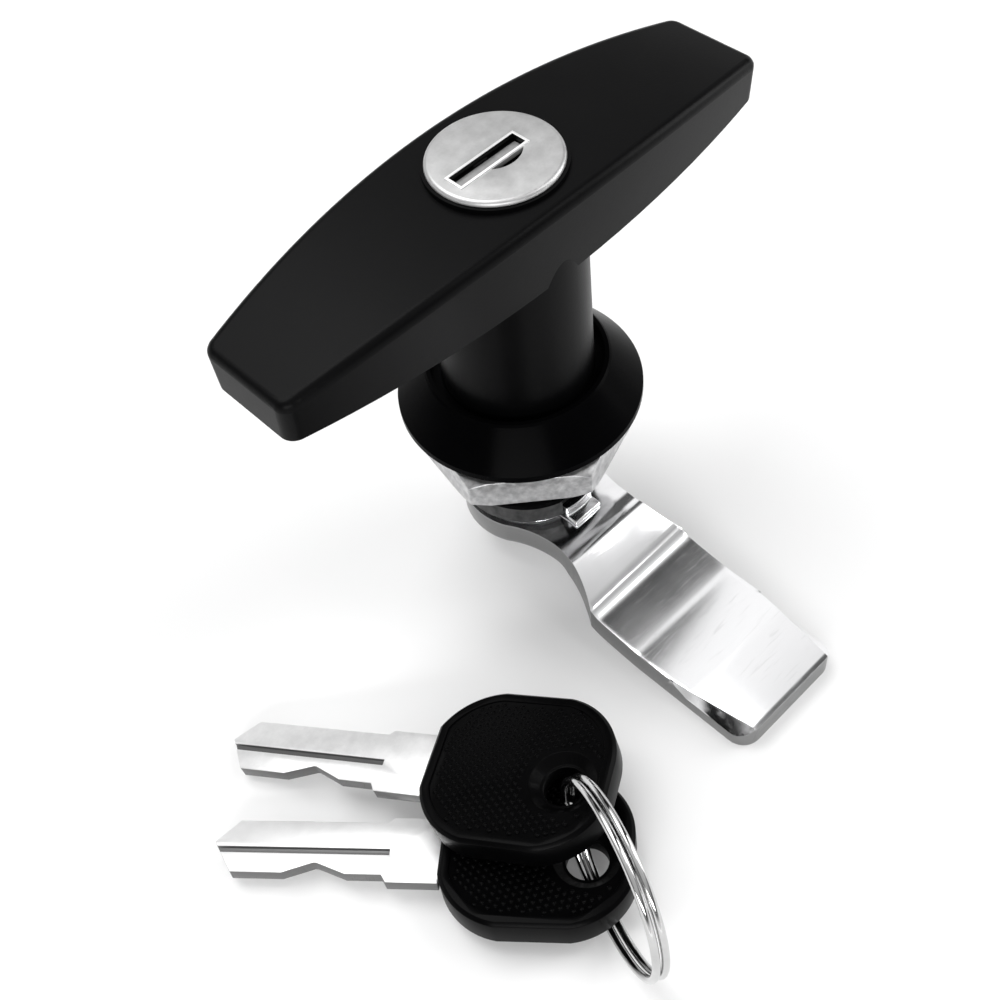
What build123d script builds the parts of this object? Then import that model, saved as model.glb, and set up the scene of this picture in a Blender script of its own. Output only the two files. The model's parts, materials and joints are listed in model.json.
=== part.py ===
from build123d import *
from math import asin, atan2, cos, degrees, radians, sin, sqrt, tan
import os

# T-handle cam lock for a sheet metal door, in millimetres.
# The origin is on the lock's axis at the outer face of the door. +Z points out of the door
# through the handle, the handle's bar lies along X and the cam points along -Y.

os.makedirs("parts", exist_ok=True)

# Clearances
running_gap = 0.05  # radial, between pieces that turn in each other
face_gap = 0.05  # axial, between faces that slide on each other
slide_gap = 0.1  # beside pieces that slide in a channel
quarter_turn = 90.0
quarter_count = 4  # the handle locks and the key comes out at every quarter turn

# Housing: bezel and threaded barrel
barrel_dia = 22.0
barrel_length = 17.9  # from the door's outer face to the barrel's end
barrel_end_chamfer = 0.6
bezel_rim_dia = 35.4
bezel_rim_height = 1.0
bezel_lip_dia = 26.6
bezel_lip_width = 0.9
bezel_lip_chamfer = 0.3
bezel_top = 7.6
recess_floor = 5.9
housing_floor = 2.3  # the shoulder under the neck
gasket_thickness = 1.0
gasket_margin = 0.7

# Panel nut
nut_flats = 30.0
nut_height = 5.0
nut_turn = 19.0  # degrees, as it was tightened
nut_chamfer = 1.3
hexagon_chamfer_angle = 30.0
panel_space = 2.1  # between gasket and nut, where the door goes

# T-handle
bar_length = 82.0
bar_mid_width = 24.0
bar_end_width = 15.9
bar_draft_mid = 3.0  # the underside is this much narrower in the middle
bar_draft_end = 2.0
bar_top = 41.5
bar_underside = 28.4
bar_crown_drop = 4.8  # the top falls this much from the middle to the ends
bar_belly = 1.9  # the underside rises this much from the middle to the ends
bar_corner_radius = 2.0
bar_top_radius = 1.3
bar_bottom_chamfer = 0.7
neck_dia = 21.8
neck_rise = 4.6  # how far the neck's side runs up into the bar
barrel_wall = 3.05  # the shaft fills the rest of the barrel
square_size = 10.0
square_short = 0.3  # the square ends this much inside the cam, so that the cam clamps
collar_dia = 18.4
collar_rise = 0.5  # above the bar's top
o_ring_wire = 1.4
o_ring_depth = 3.0  # below the door's outer face

# Lock cylinder
shell_dia = 16.4
shell_pin_dia = 2.0
shell_pin_height = 11.0
shell_pin_bite = 1.2
shell_pin_setback = 0.3
plug_dia = 12.4
plug_head_dia = 16.8
plug_head_height = 4.6
plug_end_gap = 0.2  # between the plug's end and the floor of the bore
cap_dia = 17.5
cap_thickness = 0.65
cap_round = 0.5
clip_thickness = 0.8
clip_height = 0.5  # above the plug's end
clip_bite = 1.0
clip_overhang = 1.4
clip_mouth_angle = 70.0

# Key slot and dust shutter
blade_low = 4.5  # the blade's two edges, from the lock's axis
blade_high = 3.4
blade_thickness = 2.0
blade_groove_shift = -1.1
blade_groove_width = 0.9
blade_groove_depth = 0.5
keyway_play = 0.35
keyway_depth = 29.0
slot_length = 10.8
slot_width = 2.3
slot_shift = -1.2  # the slot's middle is this far off the axis, along X
thumb_relief_dia = 7.9
shutter_thickness = 0.5
shutter_drop = 0.2  # the closed shutter's face below the cap's underside
shutter_knuckle_dia = 1.4
shutter_pin_dia = 0.8
shutter_pin_bite = 0.7
shutter_pivot_offset = 1.8  # from the axis, along Y
shutter_spring_length = 2.4

# Wafers
wafer_count = 5
wafer_pitch = 3.2
wafer_thickness = 1.2
wafer_width = 5.4
wafer_travel = 0.9
wafer_ear_width = 1.2
wafer_ear_reach = 1.7
first_wafer_depth = 7.2  # below the cap
wafer_spring_dia = 1.6
wafer_spring_wall = 0.4
wafer_spring_length = 2.4

# Locking bolt and its drive
eccentricity = 1.84
eccentric_pin_dia = 1.8
eccentric_pin_seat = 2.0
bolt_channel_floor = 3.2
bolt_thickness = 1.8
bolt_body_length = 8.2
bolt_body_width = 7.6
bolt_heel = 3.1  # from the eccentric pin back to the bolt's rear face
bolt_tongue_width = 4.8
bolt_tip_setback = 0.3
bolt_tip_chamfer = 0.4
notch_room = 0.5

# Stack on the shaft's end
wave_washer_thickness = 0.5
stop_washer_thickness = 0.9
stop_washer_margin = 1.7
stop_tab_width = 5.4
stop_tab_height = 2.6
stop_tab_room = 2.7  # above the tab, in the barrel's recess
stop_tab_wall = 1.6
stop_foot_reach = 1.6  # the tab's foot stands out this far from under the barrel
cam_washer_dia = 18.0
cam_washer_thickness = 1.0
spring_washer_dia = 11.0
spring_washer_thickness = 1.5
spring_washer_split = 1.2
cam_bolt_dia = 6.0
cam_bolt_length = 14.0
cam_bolt_flats = 10.0
cam_bolt_head = 4.0
cam_bolt_chamfer = 0.5
tapping_room = 2.0  # the tapped hole goes this much deeper than the bolt

# Cam
cam_thickness = 4.0
cam_width = 20.4
cam_head_margin = 0.4  # the cam's round head is this much smaller than the barrel all round
cam_head_wrap = 24.0  # degrees of the head's circle past the X axis
cam_waist_width = 14.6
cam_waist_reach = 14.0
cam_arm_start = 22.3
cam_reach = 52.0
cam_crank_start = 15.2
cam_crank_run = 7.7
cam_offset = 6.5
cam_bend_radius = 2.5
cam_corner_radius = 3.0
cam_waist_round = 3.0
cam_bevel_start = 37.9
cam_bevel_full = 41.0  # where the bevel reaches its full depth
cam_bevel_width = 2.2  # at the cam's tip
cam_bevel_depth = 1.8
cam_bevel_first_depth = 0.2

# Keys
blade_length = 24.1  # from the tip to the shoulders
blade_tip_run = 3.1
blade_cut_start = 10.3
blade_cut_end = 19.1
blade_cut_run = 4.2
blade_cut_depth = 1.6
shoulder_rise = 0.7
shoulder_drop = 1.1
key_head_start = 31.9
key_head_length = 26.0
key_head_low = 12.1
key_head_high = 11.2
key_head_flat = 9.6  # the head's flat towards the blade
key_head_slope = 8.2
key_end_flat = 7.0
key_end_flat_high = 2.0
key_head_bulge = 13.6
key_head_thickness = 4.8
key_head_chamfer = 0.5
key_rim_width = 1.5
key_face_sink = 0.3
key_hole_setback = 6.3
key_hole_shift = -1.8
key_hole_dia = 5.8
key_dish_dia = 10.0
key_dish_step = 0.4
key_web = 2.0
key_tang_length = 11.0
ring_radius = 15.0
ring_wire = 1.3
ring_coil_space = 1.1

# How the keys and the ring lie: place, direction in plan, rise and roll
key_a_lay = ((-59.51, 2.51, -28.74), -59.26, 12.0, -3.95)
key_b_lay = ((-71.3, -8.6, -27.65), -48.74, 2.4, -7.51)
ring_lay = ((-41.58, -56.48, -13.9), -22.81, -1.08, 0)

# What follows from the sizes above
barrel_radius = barrel_dia / 2
neck_radius = neck_dia / 2
neck_bore = neck_radius + running_gap
shaft_bore = barrel_radius - barrel_wall
shaft_radius = shaft_bore - running_gap
neck_end = housing_floor + 2 * face_gap
bolt_bottom = bolt_channel_floor + face_gap
bore_floor = bolt_bottom + bolt_thickness + face_gap
plug_end = bore_floor + plug_end_gap
clip_bottom = plug_end + clip_height
shell_end = clip_bottom + clip_thickness + face_gap
collar_top = bar_top + collar_rise
head_seat = collar_top - plug_head_height
head_bottom = head_seat + face_gap
cap_underside = collar_top + face_gap
plug_radius = plug_dia / 2
shell_radius = shell_dia / 2
shell_bore = plug_radius + running_gap
tab_inner = barrel_radius - stop_tab_wall
wave_top = -barrel_length - face_gap
stop_top = wave_top - wave_washer_thickness
cam_top = stop_top - stop_washer_thickness
cam_bottom = cam_top - cam_thickness
cam_washer_bottom = cam_bottom - cam_washer_thickness
bolt_seat = cam_washer_bottom - spring_washer_thickness

# The eccentric pin starts at 225 degrees and ends at 315, so it pushes the bolt along X
pin_offset = eccentricity * sin(radians(quarter_turn / 2))
bolt_travel = 2 * pin_offset
bolt_back = -pin_offset - bolt_heel
bolt_front = bolt_back + bolt_body_length
bolt_tip = neck_radius - bolt_tip_setback
notch_radius = bolt_tip + bolt_travel + notch_room

# The shutter spans the slot, and its pocket gives it room to swing down
shutter_start = slot_shift - slot_length / 2 + slide_gap
shutter_end = slot_shift + slot_length / 2 - slide_gap
shutter_length = shutter_end - shutter_start
shutter_knuckle = shutter_knuckle_dia / 2
shutter_axis_height = cap_underside - shutter_drop - shutter_knuckle
swing_room = shutter_pivot_offset + slot_width / 2
shutter_free_edge = shutter_pivot_offset - sqrt((swing_room - face_gap) ** 2 - shutter_knuckle**2)
shutter_pocket_depth = shutter_drop + shutter_knuckle + swing_room
pocket_side = shutter_pivot_offset + shutter_knuckle + slide_gap

# The keyway fits the blade, whose edges are not the same distance from the axis
keyway_width = blade_low + blade_high + keyway_play
keyway_shift = (blade_high - blade_low) / 2
keyway_height = blade_thickness + keyway_play
rib_width = blade_groove_width - keyway_play
wafer_heights = [cap_underside - first_wafer_depth - i * wafer_pitch for i in range(wafer_count)]
ear_middle = wafer_width / 2 + wafer_ear_reach / 2


# Housing: bezel, threaded barrel and bore in one casting
rim_radius = bezel_rim_dia / 2
lip_radius = bezel_lip_dia / 2
notch_length = notch_radius - neck_radius + 1
tab_half_angle = degrees(asin((stop_tab_width / 2 + slide_gap) / tab_inner))
recess_top = cam_top + stop_tab_height + stop_tab_room
with BuildPart() as housing:
    with BuildSketch(Plane.XZ):
        with BuildLine():
            Polyline(
                (shaft_bore, -barrel_length),
                (barrel_radius - barrel_end_chamfer, -barrel_length),
                (barrel_radius, -barrel_length + barrel_end_chamfer),
                (barrel_radius, gasket_thickness),
                (rim_radius, gasket_thickness),
                (rim_radius, gasket_thickness + bezel_rim_height),
                (lip_radius, bezel_top - bezel_lip_chamfer),
                (lip_radius - bezel_lip_chamfer, bezel_top),
                (lip_radius - bezel_lip_width, bezel_top),
                (lip_radius - bezel_lip_width, recess_floor),
                (neck_bore, recess_floor),
                (neck_bore, housing_floor),
                (shaft_bore, housing_floor),
                close=True,
            )
        make_face()
    revolve(axis=Axis.Z)
    # Notches in the neck's bore, where the bolt holds the handle at every quarter turn
    with BuildSketch(Plane.XY.offset(bolt_bottom - slide_gap)):
        with PolarLocations(notch_radius - notch_length / 2, quarter_count):
            Rectangle(notch_length, bolt_tongue_width + 2 * slide_gap)
    extrude(amount=bolt_thickness + 2 * slide_gap, mode=Mode.SUBTRACT)
    # Sector of the barrel's end that the stop tab swings in
    with BuildSketch(Plane.XY.offset(-barrel_length)):
        with BuildLine():
            swing = CenterArc(
                (0, 0), barrel_dia, -quarter_turn - tab_half_angle, quarter_turn + 2 * tab_half_angle
            )
            Polyline(swing @ 1, (0, 0), swing @ 0)
        make_face()
    extrude(amount=recess_top + barrel_length, mode=Mode.SUBTRACT)
housing.part.label = "housing"
export_step(housing.part, "parts/housing.step")


# Rubber gasket between bezel and door
with BuildPart() as panel_gasket:
    with BuildSketch():
        Circle(rim_radius - gasket_margin)
        Circle(barrel_radius, mode=Mode.SUBTRACT)
    extrude(amount=gasket_thickness)
panel_gasket.part.label = "panel_gasket"
export_step(panel_gasket.part, "parts/panel_gasket.step")


def hexagon_blank(flats, bottom, height, chamfer_run):
    """Hexagon prism whose corners are turned off by a cone at its top and its bottom."""
    corner = flats / sqrt(3)
    fall = chamfer_run * tan(radians(hexagon_chamfer_angle))
    with BuildPart() as blank:
        with BuildSketch(Plane.XY.offset(bottom)):
            RegularPolygon(flats / 2, 6, major_radius=False, rotation=nut_turn)
        extrude(amount=height)
        with BuildSketch(Plane.XZ):
            with BuildLine():
                Polyline(
                    (0, bottom),
                    (corner - chamfer_run, bottom),
                    (corner, bottom + fall),
                    (corner, bottom + height - fall),
                    (corner - chamfer_run, bottom + height),
                    (0, bottom + height),
                    close=True,
                )
            make_face()
        revolve(axis=Axis.Z, mode=Mode.INTERSECT)
    return blank.part


# Panel nut on the barrel
nut_blank = hexagon_blank(nut_flats, -panel_space - nut_height, nut_height, nut_chamfer)
with BuildPart() as panel_nut:
    add(nut_blank)
    with BuildSketch(Plane.XY.offset(-panel_space)):
        Circle(barrel_radius)
    extrude(amount=-nut_height, mode=Mode.SUBTRACT)
panel_nut.part.label = "panel_nut"
export_step(panel_nut.part, "parts/panel_nut.step")


def bar_outline(height, mid_width, end_width):
    """Plan of the bar at one height: straight ends, two long bowed sides and round corners."""
    tip = bar_length / 2
    side = end_width / 2
    with BuildSketch(Plane.XY.offset(height)) as outline:
        with BuildLine():
            ThreePointArc((-tip, side), (0, mid_width / 2), (tip, side))
            Line((tip, side), (tip, -side))
            ThreePointArc((tip, -side), (0, -mid_width / 2), (-tip, -side))
            Line((-tip, -side), (-tip, side))
        make_face()
        fillet(outline.vertices(), bar_corner_radius)
    return outline.sketch


# The T-handle: bar, collar, hollow neck, shaft and square end in one casting
low_outline = bar_outline(bar_underside, bar_mid_width - bar_draft_mid, bar_end_width - bar_draft_end)
high_outline = bar_outline(bar_top, bar_mid_width, bar_end_width)
bar_reach = bar_length / 2 + 1
channel_front = bolt_front + bolt_travel + slide_gap
channel_back = bolt_back - slide_gap
with BuildPart() as t_handle:
    loft(sections=[low_outline, high_outline], ruled=True)
    with BuildSketch(Plane.XZ):
        with BuildLine():
            low_top = bar_top - bar_crown_drop
            high_base = bar_underside + bar_belly
            ThreePointArc((-bar_reach, low_top), (0, bar_top), (bar_reach, low_top))
            Line((bar_reach, low_top), (bar_reach, high_base))
            ThreePointArc((bar_reach, high_base), (0, bar_underside), (-bar_reach, high_base))
            Line((-bar_reach, high_base), (-bar_reach, low_top))
        make_face()
    extrude(amount=bar_mid_width, both=True, mode=Mode.INTERSECT)
    fillet(t_handle.faces().sort_by(Axis.Z)[-1].edges(), bar_top_radius)
    chamfer(t_handle.faces().sort_by(Axis.Z)[0].edges(), bar_bottom_chamfer)
    with BuildSketch(Plane.XY.offset(neck_end)):
        Circle(neck_radius)
    extrude(amount=bar_underside + neck_rise - neck_end)
    with BuildSketch(Plane.XY.offset(head_seat)):
        Circle(collar_dia / 2)
    extrude(amount=plug_head_height)
    with BuildSketch(Plane.XY.offset(stop_top)):
        Circle(shaft_radius)
    extrude(amount=neck_end - stop_top)
    with BuildSketch(Plane.XY.offset(cam_bottom + square_short)):
        Rectangle(square_size, square_size)
    extrude(amount=stop_top - cam_bottom - square_short)
    # Bore for the lock cylinder, wider where the plug's head turns
    with BuildSketch(Plane.XY.offset(bore_floor)):
        Circle(shell_radius)
    extrude(amount=head_seat - bore_floor, mode=Mode.SUBTRACT)
    with BuildSketch(Plane.XY.offset(head_seat)):
        Circle(plug_head_dia / 2 + running_gap)
    extrude(amount=plug_head_height, mode=Mode.SUBTRACT)
    # Channel for the bolt under the bore, open through the neck's side for the tongue
    with BuildSketch(Plane.XY.offset(bolt_channel_floor)):
        with Locations(((channel_back + channel_front) / 2, 0)):
            Rectangle(channel_front - channel_back, bolt_body_width + 2 * slide_gap)
        with Locations((neck_radius / 2, 0)):
            Rectangle(neck_radius + 2, bolt_tongue_width + 2 * slide_gap)
    extrude(amount=bore_floor - bolt_channel_floor, mode=Mode.SUBTRACT)
    # Groove for the seal
    with BuildSketch(Plane.XY.offset(-o_ring_depth - o_ring_wire / 2)):
        Circle(shaft_radius + 1)
        Circle(shaft_radius - o_ring_wire, mode=Mode.SUBTRACT)
    extrude(amount=o_ring_wire, mode=Mode.SUBTRACT)
    # Tapped hole for the cam's bolt
    with BuildSketch(Plane.XY.offset(cam_bottom + square_short)):
        Circle(cam_bolt_dia / 2)
    extrude(
        amount=bolt_seat + cam_bolt_length + tapping_room - cam_bottom - square_short,
        mode=Mode.SUBTRACT,
    )
    # Cross hole for the cylinder's pin
    with BuildSketch(Plane.XZ.offset(-neck_radius - 1)):
        with Locations((0, shell_pin_height)):
            Circle(shell_pin_dia / 2)
    extrude(amount=neck_radius + 1 - plug_radius, mode=Mode.SUBTRACT)
t_handle.part.label = "t_handle"
export_step(t_handle.part, "parts/t_handle.step")


# Weather seal in the shaft's groove
with BuildPart() as shaft_o_ring:
    with BuildSketch(Plane.XZ):
        with Locations((shaft_radius - o_ring_wire / 2, -o_ring_depth)):
            RegularPolygon(o_ring_wire / 2, 8)
    revolve(axis=Axis.Z)
shaft_o_ring.part.label = "shaft_o_ring"
export_step(shaft_o_ring.part, "parts/shaft_o_ring.step")


# Sleeve around the plug, with broached grooves that the wafers lock into
groove_bottom = wafer_heights[-1] - wafer_thickness
groove_depth = plug_radius + wafer_travel + slide_gap
with BuildPart() as lock_shell:
    with BuildSketch(Plane.XY.offset(shell_end)):
        Circle(shell_radius)
        Circle(shell_bore, mode=Mode.SUBTRACT)
    extrude(amount=head_seat - shell_end)
    with BuildSketch(Plane.XY.offset(groove_bottom)):
        with PolarLocations(groove_depth / 2, quarter_count):
            Rectangle(groove_depth, wafer_width + 2 * slide_gap)
    extrude(amount=wafer_heights[0] + wafer_thickness - groove_bottom, mode=Mode.SUBTRACT)
    with BuildSketch(Plane.XZ.offset(-shell_radius)):
        with Locations((0, shell_pin_height)):
            Circle(shell_pin_dia / 2)
    extrude(amount=shell_pin_bite, mode=Mode.SUBTRACT)
lock_shell.part.label = "lock_shell"
export_step(lock_shell.part, "parts/lock_shell.step")


# Pin through the neck's wall into the sleeve
with BuildPart() as shell_pin:
    with BuildSketch(Plane.XZ.offset(shell_pin_setback - neck_radius)):
        with Locations((0, shell_pin_height)):
            Circle(shell_pin_dia / 2)
    extrude(amount=neck_radius - shell_pin_setback - shell_radius + shell_pin_bite)
shell_pin.part.label = "shell_pin"
export_step(shell_pin.part, "parts/shell_pin.step")


def key_slot(height):
    """The key's slot with the round thumb relief on one side of it."""
    relief = thumb_relief_dia / 2
    with BuildSketch(Plane.XY.offset(height)) as opening:
        Circle(relief)
        with Locations((0, relief / 2)):
            Rectangle(2 * relief, relief, mode=Mode.SUBTRACT)
        with Locations((slot_shift, 0)):
            Rectangle(slot_length, slot_width)
    return opening.sketch


# Stainless cap on the plug's head
with BuildPart() as face_cap:
    with BuildSketch(Plane.XY.offset(cap_underside)):
        Circle(cap_dia / 2)
    extrude(amount=cap_thickness)
    fillet(face_cap.edges().group_by(Axis.Z)[-1], cap_round)
    extrude(key_slot(cap_underside), amount=cap_thickness, mode=Mode.SUBTRACT)
face_cap.part.label = "face_cap"
export_step(face_cap.part, "parts/face_cap.step")


# Plug: head with the shutter's pocket, keyway, wafer slots, spring pockets and clip groove
slot_thickness = wafer_thickness + 2 * face_gap
ear_room = wafer_ear_width + wafer_travel + 2 * slide_gap
with BuildPart() as plug:
    with BuildSketch(Plane.XY.offset(head_bottom)):
        Circle(plug_head_dia / 2)
    extrude(amount=cap_underside - head_bottom)
    with BuildSketch(Plane.XY.offset(plug_end)):
        Circle(plug_radius)
    extrude(amount=head_bottom - plug_end)
    with BuildSketch(Plane.XY.offset(clip_bottom)):
        Circle(plug_radius + 1)
        Circle(plug_radius - clip_bite, mode=Mode.SUBTRACT)
    extrude(amount=clip_thickness, mode=Mode.SUBTRACT)
    # Keyway, with a rib on each side
    with BuildSketch(Plane.XY.offset(cap_underside)):
        with Locations((keyway_shift, 0)):
            Rectangle(keyway_width, keyway_height)
        with Locations((blade_groove_shift, keyway_height / 2), (blade_groove_shift, -keyway_height / 2)):
            Rectangle(rib_width, 2 * blade_groove_depth, mode=Mode.SUBTRACT)
    extrude(amount=-keyway_depth, mode=Mode.SUBTRACT)
    # The shutter's pocket, and the thumb relief above it
    with BuildSketch(Plane.XY.offset(cap_underside)):
        with Locations((slot_shift, (pocket_side - slot_width / 2) / 2)):
            Rectangle(slot_length, pocket_side + slot_width / 2)
    extrude(amount=-shutter_pocket_depth, mode=Mode.SUBTRACT)
    extrude(key_slot(cap_underside), amount=-shutter_pocket_depth / 2, mode=Mode.SUBTRACT)
    with BuildSketch(Plane.YZ.offset(shutter_start - shutter_pin_bite)):
        with Locations((shutter_pivot_offset, shutter_axis_height)):
            Circle(shutter_pin_dia / 2)
    extrude(amount=shutter_length + 2 * shutter_pin_bite, mode=Mode.SUBTRACT)
    # Each wafer's slot, with room for its ear and a pocket for its spring
    for height in wafer_heights:
        with BuildSketch(Plane.XY.offset(height - slot_thickness / 2)):
            Rectangle(2 * plug_dia, wafer_width + 2 * face_gap)
            with Locations((wafer_travel / 2, ear_middle)):
                Rectangle(ear_room, wafer_ear_reach + 2 * slide_gap)
        extrude(amount=slot_thickness, mode=Mode.SUBTRACT)
        with BuildSketch(Plane.YZ.offset(wafer_travel - wafer_ear_width / 2)):
            with Locations((ear_middle, height)):
                Circle(wafer_spring_dia / 2 + slide_gap)
        extrude(amount=-wafer_spring_length - wafer_travel, mode=Mode.SUBTRACT)
    # Hole for the eccentric pin
    with BuildSketch(Plane.XY.offset(plug_end)):
        with Locations((-pin_offset, -pin_offset)):
            Circle(eccentric_pin_dia / 2)
    extrude(amount=eccentric_pin_seat, mode=Mode.SUBTRACT)
plug.part.label = "plug"
export_step(plug.part, "parts/plug.step")


# Wafers that end flush with the plug, each with a window for the blade, and their springs
for index, height in enumerate(wafer_heights, start=1):
    with BuildPart() as wafer:
        with BuildSketch(Plane.XY.offset(height - wafer_thickness / 2)):
            Circle(plug_radius)
            Rectangle(2 * plug_dia, wafer_width, mode=Mode.INTERSECT)
            with Locations((0, ear_middle)):
                Rectangle(wafer_ear_width, wafer_ear_reach)
            with Locations((keyway_shift, 0)):
                Rectangle(keyway_width, keyway_height, mode=Mode.SUBTRACT)
        extrude(amount=wafer_thickness)
    wafer.part.label = f"wafer_{index}"
    export_step(wafer.part, f"parts/wafer_{index}.step")
    with BuildPart() as wafer_spring:
        with BuildSketch(Plane.YZ.offset(-wafer_ear_width / 2)):
            with Locations((ear_middle, height)):
                Circle(wafer_spring_dia / 2)
                Circle(wafer_spring_dia / 2 - wafer_spring_wall, mode=Mode.SUBTRACT)
        extrude(amount=-wafer_spring_length)
    wafer_spring.part.label = f"wafer_spring_{index}"
    export_step(wafer_spring.part, f"parts/wafer_spring_{index}.step")


# Open ring in the plug's groove, under the end of the sleeve
clip_radius = plug_radius + clip_overhang
with BuildPart() as plug_clip:
    with BuildSketch(Plane.XY.offset(clip_bottom)):
        Circle(clip_radius)
        Circle(plug_radius - clip_bite, mode=Mode.SUBTRACT)
        with BuildLine():
            mouth = CenterArc((0, 0), 2 * clip_radius, 90 - clip_mouth_angle / 2, clip_mouth_angle)
            Polyline(mouth @ 1, (0, 0), mouth @ 0)
        make_face(mode=Mode.SUBTRACT)
    extrude(amount=clip_thickness)
plug_clip.part.label = "plug_clip"
export_step(plug_clip.part, "parts/plug_clip.step")


# Pin on the plug's end that drives the bolt
with BuildPart() as eccentric_pin:
    with BuildSketch(Plane.XY.offset(bolt_bottom + face_gap)):
        with Locations((-pin_offset, -pin_offset)):
            Circle(eccentric_pin_dia / 2)
    extrude(amount=plug_end + eccentric_pin_seat - bolt_bottom - face_gap)
eccentric_pin.part.label = "eccentric_pin"
export_step(eccentric_pin.part, "parts/eccentric_pin.step")


# Flat bolt with a cross slot for the eccentric pin, and a tongue
cross_slot_width = eccentric_pin_dia + 2 * slide_gap
with BuildPart() as locking_bolt:
    with BuildSketch(Plane.XY.offset(bolt_bottom)):
        with Locations(((bolt_back + bolt_front) / 2, 0)):
            Rectangle(bolt_body_length, bolt_body_width)
        with Locations(((bolt_front + bolt_tip) / 2, 0)):
            Rectangle(bolt_tip - bolt_front, bolt_tongue_width)
        with Locations((-pin_offset, -(eccentricity + pin_offset) / 2)):
            Rectangle(cross_slot_width, cross_slot_width + eccentricity - pin_offset, mode=Mode.SUBTRACT)
    extrude(amount=bolt_thickness)
    chamfer(locking_bolt.faces().sort_by(Axis.X)[-1].edges().filter_by(Axis.Z), bolt_tip_chamfer)
locking_bolt.part.label = "locking_bolt"
export_step(locking_bolt.part, "parts/locking_bolt.step")


# Flap behind the key slot, with a knuckle that is cut away for the coil in its middle
knuckle_gap = shutter_spring_length + 2 * slide_gap
with BuildPart() as dust_shutter:
    with BuildSketch(Plane.XY.offset(shutter_axis_height + shutter_knuckle - shutter_thickness)):
        with Locations((slot_shift, (shutter_free_edge + shutter_pivot_offset) / 2)):
            Rectangle(shutter_length, shutter_pivot_offset - shutter_free_edge)
    extrude(amount=shutter_thickness)
    with BuildSketch(Plane.YZ.offset(shutter_start)):
        with Locations((shutter_pivot_offset, shutter_axis_height)):
            Circle(shutter_knuckle_dia / 2)
    extrude(amount=shutter_length)
    with BuildSketch(Plane.YZ.offset(slot_shift - knuckle_gap / 2)):
        with Locations((shutter_pivot_offset, shutter_axis_height)):
            Rectangle(shutter_knuckle_dia + 2 * slide_gap, shutter_knuckle_dia + 2 * slide_gap)
    extrude(amount=knuckle_gap, mode=Mode.SUBTRACT)
    with BuildSketch(Plane.YZ.offset(shutter_start)):
        with Locations((shutter_pivot_offset, shutter_axis_height)):
            Circle(shutter_pin_dia / 2 + running_gap)
    extrude(amount=shutter_length, mode=Mode.SUBTRACT)
dust_shutter.part.label = "dust_shutter"
export_step(dust_shutter.part, "parts/dust_shutter.step")


# The flap's pivot, and the coil that closes the flap
with BuildPart() as shutter_pin:
    with BuildSketch(Plane.YZ.offset(shutter_start - shutter_pin_bite)):
        with Locations((shutter_pivot_offset, shutter_axis_height)):
            Circle(shutter_pin_dia / 2)
    extrude(amount=shutter_length + 2 * shutter_pin_bite)
shutter_pin.part.label = "shutter_pin"
export_step(shutter_pin.part, "parts/shutter_pin.step")

with BuildPart() as shutter_spring:
    with BuildSketch(Plane.YZ.offset(slot_shift - shutter_spring_length / 2)):
        with Locations((shutter_pivot_offset, shutter_axis_height)):
            Circle(shutter_knuckle_dia / 2)
            Circle(shutter_pin_dia / 2, mode=Mode.SUBTRACT)
    extrude(amount=shutter_spring_length)
shutter_spring.part.label = "shutter_spring"
export_step(shutter_spring.part, "parts/shutter_spring.step")


# Thin washer around the shaft that takes up the play
with BuildPart() as wave_washer:
    with BuildSketch(Plane.XY.offset(stop_top)):
        Circle(tab_inner - slide_gap)
        Circle(shaft_radius, mode=Mode.SUBTRACT)
    extrude(amount=wave_washer_thickness)
wave_washer.part.label = "wave_washer"
export_step(wave_washer.part, "parts/wave_washer.step")


# Washer with a square hole and one tab turned up into the barrel's recess
stop_reach = barrel_radius + stop_foot_reach
with BuildPart() as stop_washer:
    with BuildSketch(Plane.XY.offset(cam_top)):
        Circle(barrel_radius - stop_washer_margin)
        with Locations((0, -stop_reach / 2)):
            Rectangle(stop_tab_width, stop_reach)
    extrude(amount=stop_washer_thickness)
    with BuildSketch(Plane.XY.offset(cam_top)):
        with Locations((0, -barrel_radius)):
            Rectangle(stop_tab_width, 2 * stop_tab_wall)
        Circle(barrel_radius, mode=Mode.INTERSECT)
        Circle(tab_inner, mode=Mode.SUBTRACT)
    extrude(amount=stop_tab_height)
    with BuildSketch(Plane.XY.offset(cam_top)):
        Rectangle(square_size, square_size)
    extrude(amount=stop_washer_thickness, mode=Mode.SUBTRACT)
stop_washer.part.label = "stop_washer"
export_step(stop_washer.part, "parts/stop_washer.step")


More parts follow.
